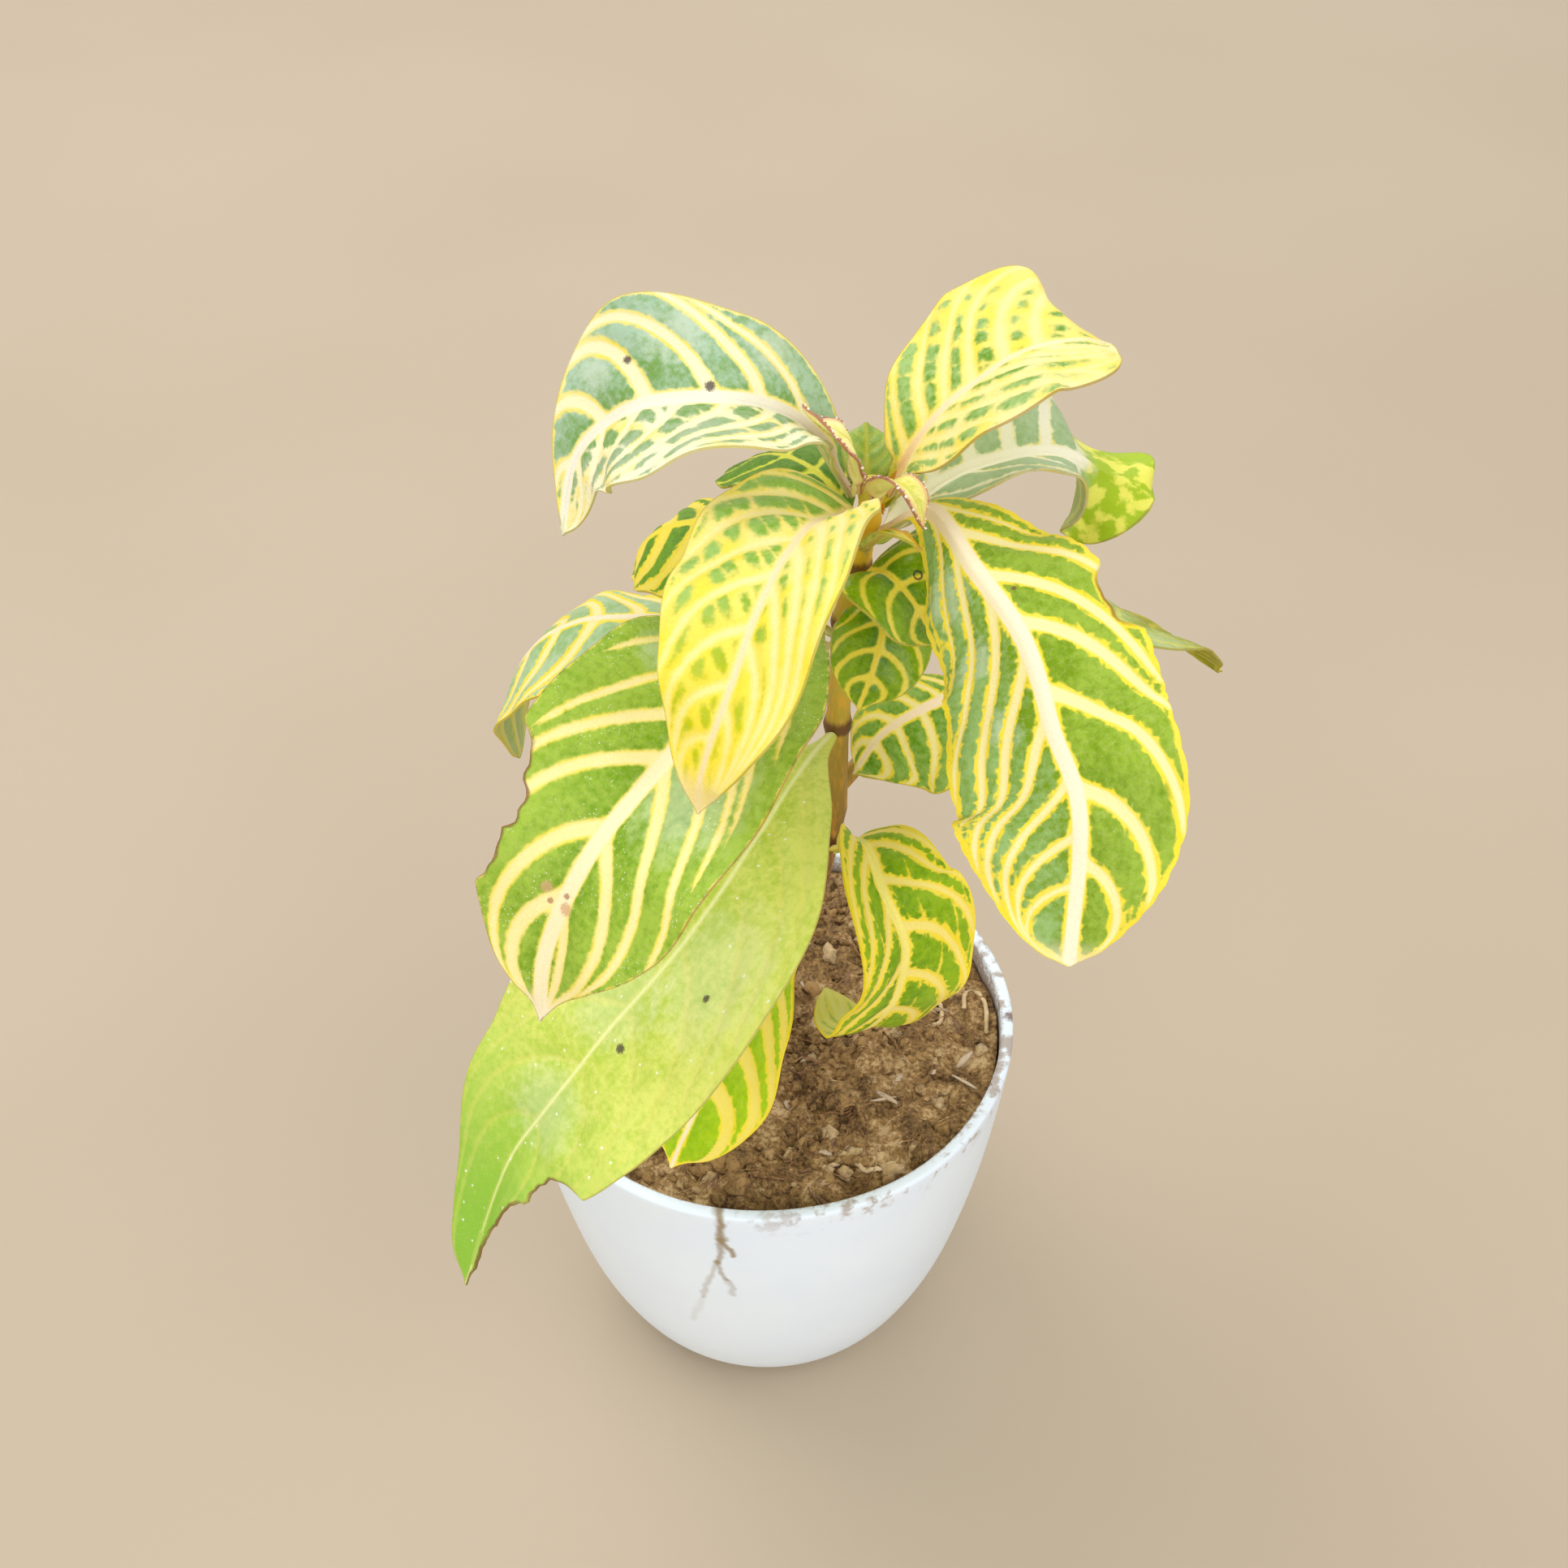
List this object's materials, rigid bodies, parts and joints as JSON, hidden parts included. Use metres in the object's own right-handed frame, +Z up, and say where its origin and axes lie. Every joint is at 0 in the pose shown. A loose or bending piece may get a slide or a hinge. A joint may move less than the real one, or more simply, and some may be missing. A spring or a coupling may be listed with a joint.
{
  "type": "potted sanchezia",
  "caption": "Leafy houseplant with broad cream-veined green, yellow and lime leaves on an upright stem in a white nursery pot.",
  "frame": {"origin": "middle of the pot's flat base, on the surface it stands on", "axes": "+Z up along the pot's axis; +X to the right and +Y away from the viewer as pictured"},
  "size_m": [0.1525, 0.1323, 0.2543],
  "materials": {
    "pot_plastic": "satin white, faintly translucent",
    "soil": "crumbly and dull",
    "stem": "smooth, yellow-green to red-brown",
    "leaf_cream_green": "living leaf, semi-gloss",
    "leaf_yellow": "living leaf, semi-gloss",
    "leaf_green_cream": "living leaf, semi-gloss",
    "leaf_lime": "living leaf, semi-gloss",
    "leaf_yellow_green": "living leaf, semi-gloss",
    "leaf_dark_green": "living leaf, semi-gloss",
    "leaf_bud": "living leaf, semi-gloss"
  },
  "bodies": {
    "root": {"pot": "pot_plastic", "soil": "soil", "stem": "stem", "leaf_upper_left": "leaf_cream_green", "leaf_upper_right": "leaf_yellow", "leaf_yellow_front": "leaf_yellow", "leaf_right_large": "leaf_green_cream", "leaf_left_large": "leaf_green_cream", "leaf_lime_long": "leaf_lime", "leaf_low_front": "leaf_green_cream", "leaf_low_right": "leaf_yellow_green", "leaf_shoot_inner": "leaf_green_cream", "leaf_shoot_outer": "leaf_dark_green", "leaf_back_left": "leaf_dark_green", "leaf_back_top": "leaf_dark_green", "leaf_right_back": "leaf_cream_green", "leaf_left_behind": "leaf_green_cream", "leaf_small_upper": "leaf_dark_green", "leaf_small_lower": "leaf_dark_green", "leaf_young_arch": "leaf_dark_green", "leaf_young_back": "leaf_dark_green", "leaf_young_tip": "leaf_dark_green", "bud_leaf_left": "leaf_bud", "bud_leaf_curled": "leaf_bud"}
  },
  "joints": []
}
